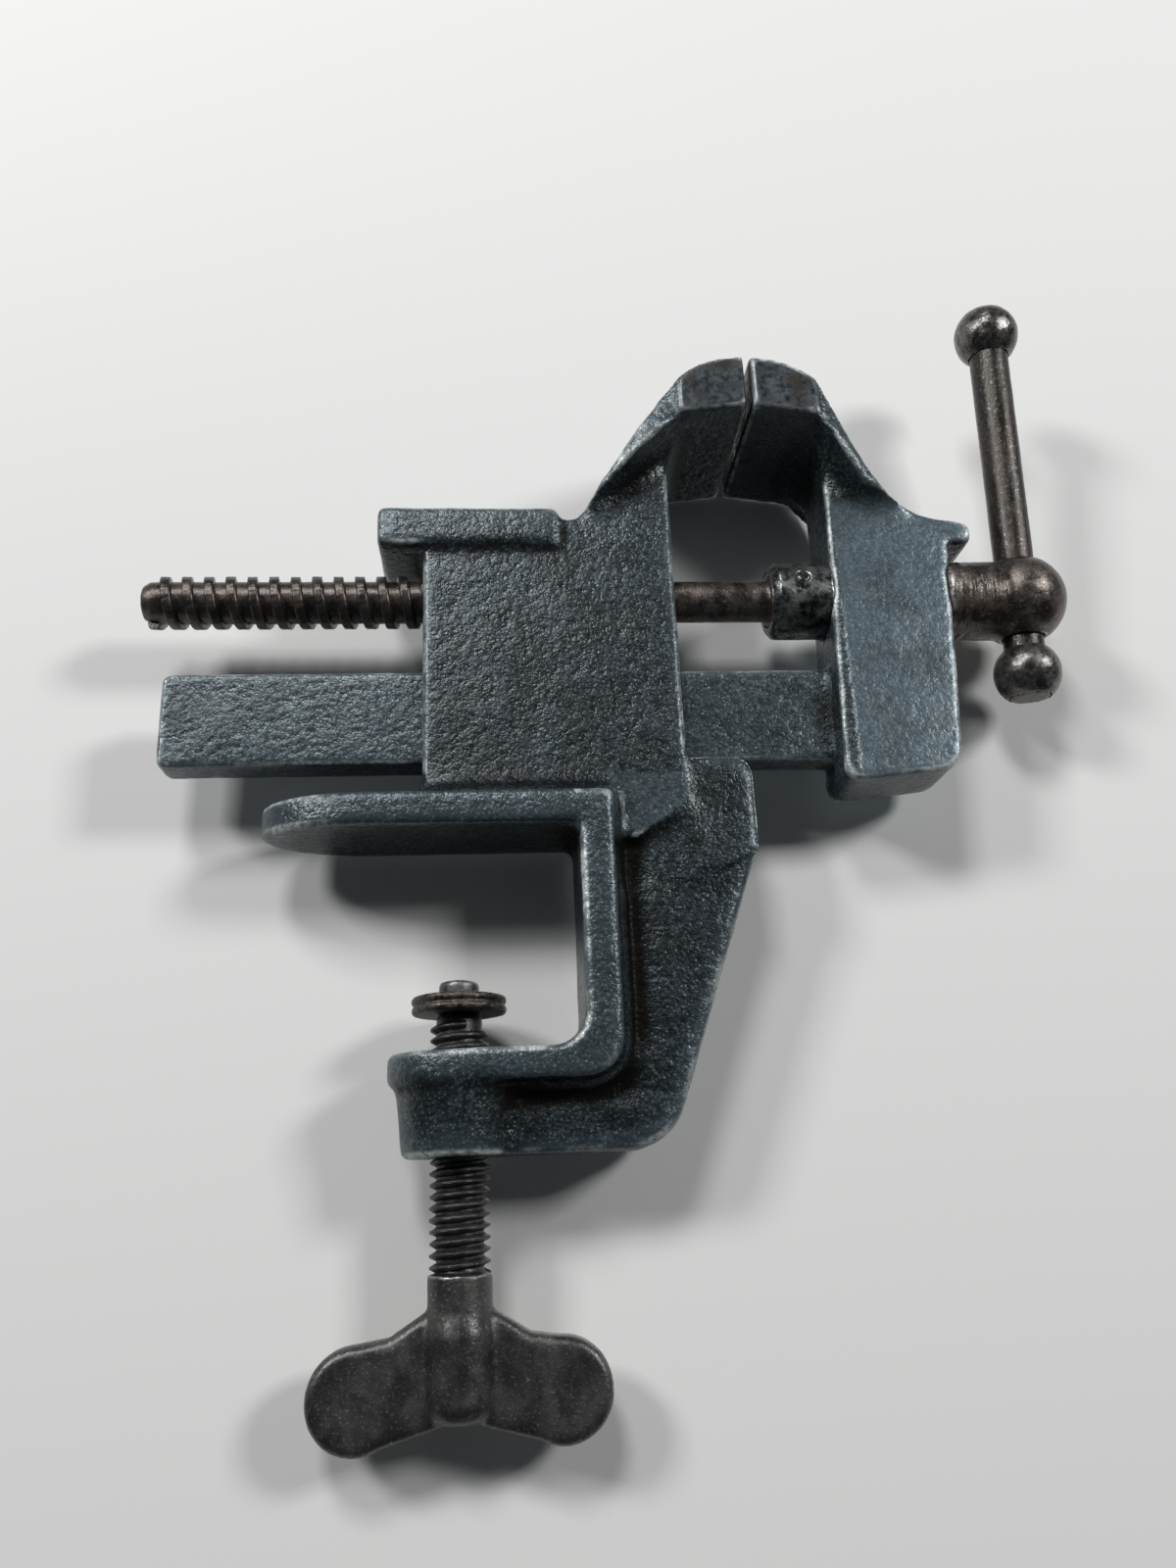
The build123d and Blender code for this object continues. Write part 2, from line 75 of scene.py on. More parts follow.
def addNode(tree, kind, inputs=None, **settings):
    node = tree.nodes.new(kind)
    for key, value in settings.items():
        setattr(node, key, value)
    for key, value in (inputs or {}).items():
        if isinstance(value, bpy.types.NodeSocket):
            tree.links.new(value, node.inputs[key])
        else:
            node.inputs[key].default_value = value
    return node


def calc(tree, operation, first, second, clamp=False):
    inputs = {0: first, 1: second}
    return addNode(tree, "ShaderNodeMath", inputs, operation=operation, use_clamp=clamp).outputs[0]


def times(tree, first, second, clamp=False):
    return calc(tree, "MULTIPLY", first, second, clamp)


def spread(tree, value, low, high, toLow=0.0, toHigh=1.0):
    inputs = {"Value": value, "From Min": low, "From Max": high, "To Min": toLow, "To Max": toHigh}
    return addNode(tree, "ShaderNodeMapRange", inputs, interpolation_type="SMOOTHSTEP").outputs[0]


def blendColor(tree, share, first, second):
    node = addNode(tree, "ShaderNodeMix", {0: share}, data_type="RGBA")
    for socket, value in ((node.inputs[6], first), (node.inputs[7], second)):  # the two color sockets
        if isinstance(value, bpy.types.NodeSocket):
            tree.links.new(value, socket)
        else:
            socket.default_value = (*value, 1)
    return node.outputs[2]


def noise(tree, coords, size, detail, rough, warp=0.0):
    inputs = {"Vector": coords, "Scale": 1 / (size * mm), "Detail": detail}
    inputs.update({"Roughness": rough, "Distortion": warp})
    return addNode(tree, "ShaderNodeTexNoise", inputs).outputs[0]


def roundGrains(tree, coords, size):
    inputs = {"Vector": coords, "Scale": 1 / (size * mm), "Smoothness": 0.5}
    gap = addNode(tree, "ShaderNodeTexVoronoi", inputs, feature="SMOOTH_F1").outputs["Distance"]
    return calc(tree, "SUBTRACT", 1.0, gap)


def stretched(tree, coords, along):
    return addNode(tree, "ShaderNodeVectorMath", {0: coords, 1: along}, operation="MULTIPLY").outputs[0]


def attribute(tree, name):
    return addNode(tree, "ShaderNodeAttribute", attribute_name=name).outputs["Fac"]


def newMaterial(name):
    material = bpy.data.materials.new(name)
    material.use_nodes = True
    tree = material.node_tree
    tree.nodes.clear()
    surface = addNode(tree, "ShaderNodeBsdfPrincipled")
    output = addNode(tree, "ShaderNodeOutputMaterial")
    tree.links.new(surface.outputs[0], output.inputs[0])
    coords = addNode(tree, "ShaderNodeTexCoord").outputs["Object"]
    return material, tree, surface, coords


def bumped(tree, surface, layers):
    normal = None
    for height, depth in layers:
        inputs = {"Height": height, "Distance": depth * mm, "Strength": 1.0}
        if normal:
            inputs["Normal"] = normal
        normal = addNode(tree, "ShaderNodeBump", inputs).outputs[0]
    tree.links.new(normal, surface.inputs["Normal"])


# Old cast iron: blue-black sand-cast skin, its high grains worn grey with painted glints, its edges worn
# bright, and painted shade with dirt and oil in its hollows

castIron = {
    "pit": (0.001, 0.002, 0.002),
    "dark": (0.009, 0.013, 0.016),
    "mid": (0.032, 0.047, 0.054),
    # the worn grey of the high grains, which also stands in for painted glints of light on them
    "rubbedAndGlint": (0.135, 0.185, 0.21),
    "worn": (0.088, 0.125, 0.146),
    "bare": (0.50, 0.53, 0.53),
    "ground": (0.085, 0.095, 0.104),
    "groundStain": (0.040, 0.030, 0.022),
    # near-black: painted shade in hollows and inside corners, with oil and dirt
    "stainAndShade": (0.008, 0.007, 0.006),
    "sheen": (0.90, 0.98, 1.0, 1),
    "metallic": 0.15,
    "polish": 0.6,
    "rough": (0.26, 0.38),
    "grainSize": 0.50,
    "fineGrainSize": 0.26,
    "coarseShare": 0.6,
    "lumpSize": 1.1,
    "mottleSize": 7.0,
    "broadSize": 16.8,
    "scratchSize": 1.6,
    "spotSize": 3.2,
    "patchSize": 5.0,
    "chipSize": 0.9,
    "grainBump": 0.065,
    "lumpBump": 0.20,
    "scratchBump": 0.03,
    "crestShare": 0.22,
    # share of painted shade with dirt in broad hollows
    "grimeAndShadeShare": 0.93,
    "groundGrain": 0.85,
    "groundDull": 0.35,
    "wornGrain": 0.5,
}


def castSkin(tree, coords, s, mask, grain, lump, mottle):
    broad = noise(tree, coords, s["broadSize"], 2.0, 0.5)
    oily = times(tree, spread(tree, mottle, 0.38, 0.62), spread(tree, broad, 0.38, 0.60, 0.45, 1.0))
    skin = blendColor(tree, oily, s["dark"], s["mid"])
    handled = times(tree, mask["worn"], spread(tree, mottle, 0.3, 0.6, 0.5, 0.9))
    skin = blendColor(tree, handled, skin, s["worn"])
    fewer = spread(tree, mask["worn"], 0.0, 1.0, 1.0, 0.4)
    pits = times(tree, spread(tree, grain, 0.60, 0.42, 0.0, 0.8), fewer)
    skin = blendColor(tree, pits, skin, s["pit"])
    # The tops of the grains take the worn grey: partly wear, partly painted glints
    rubbedAndGlintTips = times(tree, spread(tree, grain, 0.64, 0.82), spread(tree, lump, 0.30, 0.62, 0.30, 1.0))
    rubbedAndGlintTips = times(tree, rubbedAndGlintTips, spread(tree, mottle, 0.34, 0.62, 0.35, 0.9))
    crests = times(tree, spread(tree, mask["crest"], 0.1, 0.9), s["crestShare"])
    return blendColor(tree, calc(tree, "ADD", rubbedAndGlintTips, crests, True), skin, s["rubbedAndGlint"])


# Painted shade with oil and dirt: darker in inside corners, along the listed shade lines and in broad
# hollows
def oilAndShadeStain(tree, s, mask, lump):
    stainAndShade = times(tree, spread(tree, mask["creaseShadeAndOil"], 0.1, 0.7), spread(tree, lump, 0.3, 0.7, 0.35, 0.9))
    grimeAndShade = times(tree, spread(tree, mask["grimeAndShade"], 0.02, 0.55), s["grimeAndShadeShare"])
    return calc(tree, "MAXIMUM", stainAndShade, grimeAndShade)


def groundSkin(tree, coords, s, scratches):
    skin = blendColor(tree, spread(tree, scratches, 0.36, 0.64), s["dark"], s["ground"])
    spots = spread(tree, noise(tree, coords, s["spotSize"], 5.0, 0.65), 0.52, 0.66)
    return blendColor(tree, spots, skin, s["groundStain"])


def rimWear(tree, coords, s, edge):
    patches = spread(tree, noise(tree, coords, s["patchSize"], 2.0, 0.5), 0.38, 0.60, 0.15, 1.0)
    chips = spread(tree, noise(tree, coords, s["chipSize"], 4.0, 0.65), 0.38, 0.56, 0.35, 1.0)
    return times(tree, spread(tree, edge, 0.42, 0.90), times(tree, patches, chips), True)


def makeCastIron(s):
    material, tree, surface, coords = newMaterial("oldCastIron")
    mask = {name: attribute(tree, name) for name in ("edge", "creaseShadeAndOil", "ground", "worn", "grimeAndShade", "crest")}
    coarse = times(tree, roundGrains(tree, coords, s["grainSize"]), s["coarseShare"])
    fine = times(tree, roundGrains(tree, coords, s["fineGrainSize"]), 1 - s["coarseShare"])
    grain = calc(tree, "ADD", coarse, fine)
    lump = noise(tree, coords, s["lumpSize"], 3.0, 0.55)
    mottle = noise(tree, coords, s["mottleSize"], 5.0, 0.6)
    scratches = noise(tree, coords, s["scratchSize"], 6.0, 0.7)

    skin = castSkin(tree, coords, s, mask, grain, lump, mottle)
    stainAndShade = oilAndShadeStain(tree, s, mask, lump)
    skin = blendColor(tree, stainAndShade, skin, s["stainAndShade"])
    groundShare = times(tree, mask["ground"], spread(tree, mottle, 0.3, 0.6, 0.75, 1.0))
    skin = blendColor(tree, groundShare, skin, groundSkin(tree, coords, s, scratches))
    skin = blendColor(tree, rimWear(tree, coords, s, mask["edge"]), skin, s["bare"])
    tree.links.new(skin, surface.inputs["Base Color"])

    surface.inputs["Metallic"].default_value = s["metallic"]
    tree.links.new(spread(tree, lump, 0.3, 0.7, *s["rough"]), surface.inputs["Roughness"])
    dull = calc(tree, "MAXIMUM", stainAndShade, times(tree, mask["ground"], s["groundDull"]))
    gloss = times(tree, calc(tree, "SUBTRACT", 1.0, dull), s["polish"])
    tree.links.new(gloss, surface.inputs["Specular IOR Level"])
    surface.inputs["Specular Tint"].default_value = s["sheen"]
    raw = calc(tree, "SUBTRACT", 1.0, times(tree, mask["ground"], s["groundGrain"]))
    raw = times(tree, raw, spread(tree, mask["worn"], 0.0, 1.0, 1.0, s["wornGrain"]))
    lumps = (times(tree, lump, raw), s["lumpBump"])
    grains = (times(tree, grain, raw), s["grainBump"])
    bumped(tree, surface, [lumps, grains, (scratches, s["scratchBump"])])
    return material


# Turned and forged steel under old oil: brown-black, bright where hands and threads rub, darker in inside
# corners with painted shade

oldSteel = {
    "streak": (1.0, 1.0, 1.0),
    "metallic": 0.85,
    "specular": 0.9,
    "fineSize": 0.38,
    "rubSize": 0.8,
    "speckShare": 0.35,
    "creaseShadeAndOilShare": 0.85,
    "roughSpan": 0.14,
    "patchBump": 0.06,
    "fineBump": 0.045,
    "ringSize": 0.27,
    "ringStretch": (1.0, 0.04, 0.04),
    "ringBump": 0.0,
}
mainScrewSteel = {
    **oldSteel,
    "name": "oiledScrewSteel",
    "dark": (0.042, 0.036, 0.032),
    "brown": (0.140, 0.117, 0.102),
    "bare": (0.54, 0.53, 0.52),
    "rough": 0.30,
    "patchSize": 2.6,
    "ringBump": 0.1,
}
rodSteel = {
    **oldSteel,
    "name": "handledRodSteel",
    "dark": (0.022, 0.020, 0.018),
    "brown": (0.044, 0.038, 0.033),
    "bare": (0.32, 0.30, 0.28),
    "rough": 0.31,
    "patchSize": 1.1,
    "streak": (1.0, 1.0, 0.12),
}
ballSteel = {
    **oldSteel,
    "name": "handledBallSteel",
    "dark": (0.055, 0.050, 0.047),
    "brown": (0.160, 0.150, 0.142),
    "bare": (0.60, 0.60, 0.59),
    "rough": 0.25,
    "patchSize": 1.6,
}
collarSteel = {
    **oldSteel,
    "name": "wornCollarSteel",
    "dark": (0.020, 0.021, 0.020),
    "brown": (0.215, 0.225, 0.220),
    "bare": (0.72, 0.76, 0.77),
    "rough": 0.22,
    "patchSize": 1.9,
}
clampSteel = {
    **oldSteel,
    "name": "forgedClampSteel",
    "dark": (0.056, 0.055, 0.055),
    "brown": (0.092, 0.089, 0.086),
    "bare": (0.42, 0.42, 0.42),
    "rough": 0.36,
    "patchSize": 3.4,
    "streak": (1.0, 1.0, 0.7),
}
padSteel = {
    **oldSteel,
    "name": "rustyPadSteel",
    "dark": (0.026, 0.021, 0.018),
    "brown": (0.110, 0.092, 0.078),
    "bare": (0.42, 0.40, 0.38),
    "rough": 0.42,
    "patchSize": 0.9,
}


def makeSteel(s):
    material, tree, surface, coords = newMaterial(s["name"])
    fine = noise(tree, coords, s["fineSize"], 3.0, 0.6)
    patch = noise(tree, stretched(tree, coords, s["streak"]), s["patchSize"], 5.0, 0.62, 0.3)
    color = blendColor(tree, spread(tree, patch, 0.36, 0.64), s["dark"], s["brown"])
    specks = times(tree, spread(tree, fine, 0.56, 0.70), s["speckShare"])
    color = blendColor(tree, specks, color, s["bare"])
    # Inside corners darkened: painted shade, with oil on the threads
    color = blendColor(tree, times(tree, attribute(tree, "creaseShadeAndOil"), s["creaseShadeAndOilShare"]), color, s["dark"])
    rubs = spread(tree, noise(tree, coords, s["rubSize"], 4.0, 0.65), 0.38, 0.60, 0.10, 0.75)
    wear = times(tree, spread(tree, attribute(tree, "edge"), 0.30, 0.95), rubs, True)
    tree.links.new(blendColor(tree, wear, color, s["bare"]), surface.inputs["Base Color"])
    surface.inputs["Metallic"].default_value = s["metallic"]
    surface.inputs["Specular IOR Level"].default_value = s["specular"]
    rough = spread(tree, patch, 0.3, 0.7, s["rough"], s["rough"] + s["roughSpan"])
    tree.links.new(rough, surface.inputs["Roughness"])
    layers = [(patch, s["patchBump"]), (fine, s["fineBump"])]
    if s["ringBump"]:
        rings = noise(tree, stretched(tree, coords, s["ringStretch"]), s["ringSize"], 2.0, 0.5)
        layers.append((times(tree, rings, attribute(tree, "turned")), s["ringBump"]))
    bumped(tree, surface, layers)
    return material


ironMaterial = makeCastIron(castIron)
mainScrewMaterial = makeSteel(mainScrewSteel)
rodMaterial = makeSteel(rodSteel)
ballMaterial = makeSteel(ballSteel)
collarMaterial = makeSteel(collarSteel)
clampMaterial = makeSteel(clampSteel)
padMaterial = makeSteel(padSteel)
print("materials made")


# Mesh helpers: a piece starts as a fine even skin over its node, then is filleted, worn and grained

mergeGap = 0.001


def nodeSkin(node, name, voxel, extras, thread):
    shape = bmesh.new()
    shape.from_mesh(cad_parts[node].data)
    bmesh.ops.remove_doubles(shape, verts=shape.verts, dist=mergeGap * mm)
    if thread:
        cutThread(shape, thread)
    for extra in extras:
        shape.from_mesh(extra)
    mesh = bpy.data.meshes.new(name)
    shape.to_mesh(mesh)
    shape.free()
    piece = bpy.data.objects.new(name, mesh)
    bpy.context.scene.collection.objects.link(piece)
    skin = piece.modifiers.new("skin", "REMESH")
    skin.mode = "VOXEL"
    skin.voxel_size = voxel * mm
    settle(piece)
    return piece


def cutThread(shape, s):
    start, run = Vector(s["start"]), Vector(s["axis"])
    for vert in shape.verts:
        gap = vert.co / mm - start
        rise = gap.dot(run)
        out = gap - rise * run
        if s["cutFrom"] < rise < s["cutTo"] and out.length > s["Root Radius"]:
            vert.co = (start + rise * run + out.normalized() * s["Root Radius"]) * mm


def settle(piece):
    graph = bpy.context.evaluated_depsgraph_get()
    mesh = bpy.data.meshes.new_from_object(piece.evaluated_get(graph))
    piece.modifiers.clear()
    piece.data = mesh
    mesh.name = piece.name


def readPoints(mesh):
    flat = np.empty(len(mesh.vertices) * 3, np.float32)
    mesh.vertices.foreach_get("co", flat)
    return flat.reshape(-1, 3).astype(float) / mm


def readNormals(mesh):
    flat = np.empty(len(mesh.vertices) * 3, np.float32)
    mesh.vertices.foreach_get("normal", flat)
    return flat.reshape(-1, 3).astype(float)


def writePoints(mesh, points):
    mesh.vertices.foreach_set("co", (points * mm).astype(np.float32).ravel())
    mesh.update()


def readEdges(mesh):
    flat = np.empty(len(mesh.edges) * 2, np.int32)
    mesh.edges.foreach_get("vertices", flat)
    return flat.reshape(-1, 2)


def smoothed(values, edges, rounds):
    count = len(values)
    links = np.bincount(edges.ravel(), minlength=count)[:, None]
    for _ in range(rounds):
        total = np.empty_like(values)
        for axis in range(values.shape[1]):
            ahead = np.bincount(edges[:, 0], values[edges[:, 1], axis], count)
            behind = np.bincount(edges[:, 1], values[edges[:, 0], axis], count)
            total[:, axis] = ahead + behind
        values = values + (total / links - values) / 2
    return values


def store(mesh, name, values):
    layer = mesh.attributes.new(name, "FLOAT", "POINT")
    layer.data.foreach_set("value", values.astype(np.float32))


def step(values, low, high):
    share = np.clip((values - low) / (high - low), 0, 1)
    return share * share * (3 - 2 * share)


def inBox(points, low, high, soft):
    share = np.ones(len(points))
    for axis in range(3):
        share = share * step(points[:, axis], low[axis] - soft, low[axis] + soft)
        share = share * (1 - step(points[:, axis], high[axis] - soft, high[axis] + soft))
    return share


def nearLine(points, origin, axis, inner, outer):
    gap = points - np.array(origin, float)
    gap[:, axis] = 0
    return 1 - step(np.linalg.norm(gap, axis=1), inner, outer)


def fillCreases(mesh, rounds, weight):
    points = readPoints(mesh)
    edges = readEdges(mesh)
    normals = readNormals(mesh)
    lift = np.einsum("ij,ij->i", smoothed(points, edges, rounds) - points, normals)
    lift = smoothed(np.clip(lift, 0, None)[:, None], edges, 3)[:, 0] * weight(points)
    writePoints(mesh, smoothed(points + normals * lift[:, None], edges, 2))


def standsOut(mesh, reach, rounds):
    points = readPoints(mesh)
    edges = readEdges(mesh)
    height = np.einsum("ij,ij->i", points - smoothed(points, edges, reach), readNormals(mesh))
    return smoothed(height[:, None], edges, rounds)[:, 0]


def markEdges(mesh, s):
    points = readPoints(mesh)
    height = standsOut(mesh, s["edgeReach"], 1) / s["edgeHeight"]
    store(mesh, "edge", np.clip(height, 0, 1) * (1 - s["unworn"](points)))
    # Inside corners and the listed shade lines: painted shade, with oil along the threads
    store(mesh, "creaseShadeAndOil", np.clip(np.clip(-height, 0, 1) + s["oilAndShadeShare"] * s["oilAndShade"](points), 0, 1))


def markForms(mesh, s):
    height = standsOut(mesh, s["formReach"], 6) / s["formHeight"]
    store(mesh, "crest", np.clip(height, 0, 1))
    # Broad hollows: painted shade with dirt, darker in the colour
    store(mesh, "grimeAndShade", np.clip(-height, 0, 1))


def dent(points, normals, centre, radius, depth):
    gap = np.linalg.norm(points - np.array(centre), axis=1)
    return points - normals * (depth * np.exp(-((gap / radius) ** 2)))[:, None]


def sinkSides(points, normals, share, depth):
    side = step(np.abs(normals[:, 1]), 0.45, 0.75)  # only faces that look out to the sides
    points = points.copy()
    points[:, 1] -= np.sign(points[:, 1]) * depth * share * side
    return points


def nearSegment(points, start, end, reach):
    flat, first, run = points[:, [0, 2]], np.array(start), np.array(end) - np.array(start)
    share = np.clip((flat - first) @ run / (run @ run), 0, 1)
    return 1 - step(np.linalg.norm(flat - first - share[:, None] * run, axis=1), 0, reach)


def noMask(points):
    return np.zeros(len(points))


# Grain over a skin: fine sand grains on slow waves, cut inwards, less where "smooth" says so

noiseTop = 0.66  # noise hardly passes it, so what is measured from here goes inwards


def makeGrainTree():
    tree = bpy.data.node_groups.new("sandGrain", "GeometryNodeTree")
    tree.interface.new_socket("Geometry", in_out="INPUT", socket_type="NodeSocketGeometry")
    for name in ("Grain Size", "Grain Depth", "Wave Size", "Wave Depth"):
        tree.interface.new_socket(name, in_out="INPUT", socket_type="NodeSocketFloat")
    tree.interface.new_socket("Finish", in_out="INPUT", socket_type="NodeSocketMaterial")
    tree.interface.new_socket("Geometry", in_out="OUTPUT", socket_type="NodeSocketGeometry")
    start = addNode(tree, "NodeGroupInput")
    place = addNode(tree, "GeometryNodeInputPosition").outputs[0]
    smooth = addNode(tree, "GeometryNodeInputNamedAttribute", {"Name": "smooth"}, data_type="FLOAT")
    lift = None
    for size, depth, detail in (("Grain Size", "Grain Depth", 2.0), ("Wave Size", "Wave Depth", 1.0)):
        scale = calc(tree, "DIVIDE", 1.0, start.outputs[size])
        field = addNode(tree, "ShaderNodeTexNoise", {"Vector": place, "Scale": scale, "Detail": detail})
        height = calc(tree, "SUBTRACT", field.outputs[0], noiseTop)
        height = times(tree, height, start.outputs[depth])
        lift = calc(tree, "ADD", lift, height) if lift else height
    lift = times(tree, lift, calc(tree, "SUBTRACT", 1.0, smooth.outputs[0]))
    normal = addNode(tree, "GeometryNodeInputNormal").outputs[0]
    offset = addNode(tree, "ShaderNodeVectorMath", {0: normal, "Scale": lift}, operation="SCALE").outputs[0]
    moved = {"Geometry": start.outputs["Geometry"], "Offset": offset}
    moved = addNode(tree, "GeometryNodeSetPosition", moved)
    real = addNode(tree, "GeometryNodeRealizeInstances", {"Geometry": moved.outputs[0]})
    finish = {"Geometry": real.outputs[0], "Material": start.outputs["Finish"]}
    finished = addNode(tree, "GeometryNodeSetMaterial", finish)
    end = addNode(tree, "NodeGroupOutput")
    tree.links.new(finished.outputs[0], end.inputs[0])
    return tree


grainTree = makeGrainTree()


def setInput(modifier, name, value):
    for item in modifier.node_group.interface.items_tree:
        if item.item_type == "SOCKET" and item.in_out == "INPUT" and item.name == name:
            modifier[item.identifier] = value


def grain(piece, s, material):
    modifier = piece.modifiers.new("grain", "NODES")
    modifier.node_group = grainTree
    for name in ("Grain Size", "Grain Depth", "Wave Size", "Wave Depth"):
        setInput(modifier, name, s[name] * mm)
    setInput(modifier, "Finish", material)
    settle(piece)


# Thread ridges, each wound from its pitch, foot and land, and worn along its crest

screwHeight = 37.7

mainThread = {
    "name": "mainThread",
    "start": (-45.0, 0.0, screwHeight),
    "axis": (1.0, 0.0, 0.0),
    "cutFrom": -1.2,
    "cutTo": 76.18,
    "Turns": 23.9,
    "Pitch": 3.175,
    "Root Radius": 3.2,
    "Depth": 0.74,
    "Foot": 1.7,
    "Land": 1.32,
    "Wear Size": 1.4,
    "Wear Depth": 0.22,
    "Seed": 4.0,
    "Steps": 26,
}
clampThread = {
    "name": "clampThread",
    "start": (0.0, 0.0, -57.05),
    "axis": (0.0, 0.0, 1.0),
    "cutFrom": 0.02,
    "cutTo": 31.8,
    "Turns": 21.8,
    "Pitch": 1.411,
    "Root Radius": 3.12,
    "Depth": 0.79,
    "Foot": 1.3,
    "Land": 0.26,
    "Wear Size": 0.9,
    "Wear Depth": 0.26,
    "Seed": 11.0,
    "Steps": 28,
}
seatShare = -0.25  # the ridge's foot lies this share of its depth inside the core


def makeThreadTree():
    tree = bpy.data.node_groups.new("woundThread", "GeometryNodeTree")
    names = ("Turns", "Pitch", "Root Radius", "Depth", "Foot", "Land", "Wear Size", "Wear Depth", "Seed")
    for name in names:
        tree.interface.new_socket(name, in_out="INPUT", socket_type="NodeSocketFloat")
    tree.interface.new_socket("Steps", in_out="INPUT", socket_type="NodeSocketInt")
    tree.interface.new_socket("Finish", in_out="INPUT", socket_type="NodeSocketMaterial")
    tree.interface.new_socket("Geometry", in_out="OUTPUT", socket_type="NodeSocketGeometry")
    given = addNode(tree, "NodeGroupInput").outputs
    spiral = {"Resolution": given["Steps"], "Rotations": given["Turns"], "Reverse": True}
    spiral.update({"Start Radius": given["Root Radius"], "End Radius": given["Root Radius"]})
    spiral["Height"] = times(tree, given["Turns"], given["Pitch"])
    path = addNode(tree, "GeometryNodeCurveSpiral", spiral).outputs[0]
    path = addNode(tree, "GeometryNodeSetCurveNormal", {"Curve": path}, mode="Z_UP").outputs[0]
    seat, crest = times(tree, given["Depth"], seatShare), given["Depth"]
    corners = {}
    sides = ((seat, "Foot", -0.5), (seat, "Foot", 0.5), (crest, "Land", 0.5), (crest, "Land", -0.5))
    for number, (height, width, share) in enumerate(sides, 1):
        corner = {"X": height, "Y": times(tree, given[width], share)}
        corners[f"Point {number}"] = addNode(tree, "ShaderNodeCombineXYZ", corner).outputs[0]
    profile = addNode(tree, "GeometryNodeCurvePrimitiveQuadrilateral", corners, mode="POINTS").outputs[0]
    sweep = {"Curve": path, "Profile Curve": profile, "Fill Caps": True}
    ridge = addNode(tree, "GeometryNodeCurveToMesh", sweep).outputs[0]
    ridge = addNode(tree, "GeometryNodeSubdivideMesh", {"Mesh": ridge, "Level": 2}).outputs[0]
    place = addNode(tree, "GeometryNodeInputPosition").outputs[0]
    field = {"Vector": place, "W": given["Seed"], "Scale": calc(tree, "DIVIDE", 1.0, given["Wear Size"])}
    worn = addNode(tree, "ShaderNodeTexNoise", field, noise_dimensions="4D").outputs[0]
    lift = times(tree, calc(tree, "SUBTRACT", worn, noiseTop), given["Wear Depth"])
    normal = addNode(tree, "GeometryNodeInputNormal").outputs[0]
    offset = addNode(tree, "ShaderNodeVectorMath", {0: normal, "Scale": lift}, operation="SCALE").outputs[0]
    ridge = addNode(tree, "GeometryNodeSetPosition", {"Geometry": ridge, "Offset": offset}).outputs[0]
    ridge = addNode(tree, "GeometryNodeRealizeInstances", {"Geometry": ridge}).outputs[0]
    finish = {"Geometry": ridge, "Material": given["Finish"]}
    end = addNode(tree, "NodeGroupOutput")
    tree.links.new(addNode(tree, "GeometryNodeSetMaterial", finish).outputs[0], end.inputs[0])
    return tree


threadTree = makeThreadTree()


def makeThread(s, material):
    ridge = bpy.data.objects.new(s["name"], bpy.data.meshes.new(s["name"]))
    bpy.context.scene.collection.objects.link(ridge)
    modifier = ridge.modifiers.new("wind", "NODES")
    modifier.node_group = threadTree
    for name in ("Pitch", "Root Radius", "Depth", "Foot", "Land", "Wear Size", "Wear Depth"):
        setInput(modifier, name, s[name] * mm)
    for name in ("Turns", "Seed", "Steps"):
        setInput(modifier, name, s[name])
    setInput(modifier, "Finish", material)
    settle(ridge)
    mesh = ridge.data
    turn = Vector((0, 0, 1)).rotation_difference(Vector(s["axis"])).to_matrix().to_4x4()
    mesh.transform(Matrix.Translation(Vector(s["start"]) * mm) @ turn)
    bpy.data.objects.remove(ridge)
    return mesh


def addRidge(piece, ridge):
    shape = bmesh.new()
    shape.from_mesh(ridge)
    bmesh.ops.recalc_face_normals(shape, faces=shape.faces)
    shape.from_mesh(piece.data)
    shape.to_mesh(piece.data)
    shape.free()


def finishPiece(piece, node, body):
    piece.data.polygons.foreach_set("use_smooth", [True] * len(piece.data.polygons))
    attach(piece, body)
    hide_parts(node)
    print(piece.name, "made,", len(piece.data.polygons), "faces")


threadEnds = {
    "mainTo": 31.2,
    "mainReach": 4.2,
    "clampFrom": -57.0,
    "clampTo": -25.0,
    "cleanShare": 0.75,
}


def threadCrest(points):
    x, y, z = points.T
    onMain = (x < threadEnds["mainTo"]) & (np.abs(z - screwHeight) < threadEnds["mainReach"])
    onClamp = (z > threadEnds["clampFrom"]) & (z < threadEnds["clampTo"])
    return threadEnds["cleanShare"] * (onMain | onClamp)


def dress(s, material, extras=()):
    piece = nodeSkin(s["node"], s["name"], s["voxel"], extras, s["thread"])
    mesh = piece.data
    writePoints(mesh, smoothed(readPoints(mesh), readEdges(mesh), s["rounding"]))
    if s["filletRounds"]:
        fillCreases(mesh, s["filletRounds"], s["fillets"])
    if s["thread"]:
        addRidge(piece, makeThread(s["thread"], material))
    points = readPoints(mesh)
    if s["dent"]:
        points = dent(points, readNormals(mesh), *s["dent"])
    if s["hollow"]:
        points = s["hollow"](points, readNormals(mesh))
    if s["softRounds"]:
        soft = smoothed(points, readEdges(mesh), s["softRounds"])
        points = points + (soft - points) * s["soften"](points)[:, None]
    writePoints(mesh, points)
    for name in ("smooth", "ground", "turned", "worn"):
        store(mesh, name, s[name](points))
    markEdges(mesh, s)
    if s["formReach"]:
        markForms(mesh, s)
    grain(piece, s, material)
    finishPiece(piece, s["node"], s["body"])


plainPiece = {
    "thread": None,
    "filletRounds": 0,
    "dent": None,
    "hollow": None,
    "softRounds": 0,
    "smooth": noMask,
    "ground": noMask,
    "turned": noMask,
    "worn": noMask,
    "unworn": noMask,
    "oilAndShade": noMask,
    # share for painted shade lines on the castings and oil on the threads
    "oilAndShadeShare": 0.8,
    "formReach": 0,
}


# The coves cast under the jaws' overhang, from the lower edge of jaw and band in to the casting's side

